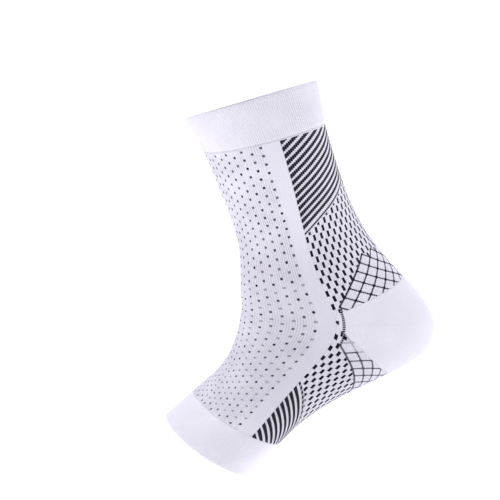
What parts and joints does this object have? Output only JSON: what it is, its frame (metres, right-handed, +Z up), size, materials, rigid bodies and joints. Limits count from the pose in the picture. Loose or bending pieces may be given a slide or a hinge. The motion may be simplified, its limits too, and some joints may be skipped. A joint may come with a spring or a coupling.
{
  "type": "compression ankle sleeve",
  "caption": "Open-toe knitted compression ankle sleeve with a plain heel pocket, welted openings, a dotted front and striped, dashed and netted sides.",
  "frame": {"origin": "centre of the ankle that fills the sleeve, midway between the two ankle bones", "axes": "+Z up along the leg to the cuff, -Y forward to the toes, +X to one side; the sleeve is even about X = 0"},
  "size_m": [0.092, 0.1726, 0.1949],
  "materials": {
    "welt_knit": "plain white double welt, fine vertical ribs, matt",
    "dotted_knit": "white ribbed knit with staggered small dark dots, matt",
    "striped_knit": "white knit with near-black diagonal stripes, dashes and diamond net, matt",
    "heel_knit": "plain white close knit, matt",
    "arch_knit": "white knit with near-black net, dashes and curved stripes, matt"
  },
  "bodies": {
    "root": {"top_cuff": "welt_knit", "front_panel": "dotted_knit", "calf_panel": "striped_knit", "heel_cup": "heel_knit", "arch_panel": "arch_knit", "toe_band": "welt_knit"}
  },
  "joints": []
}
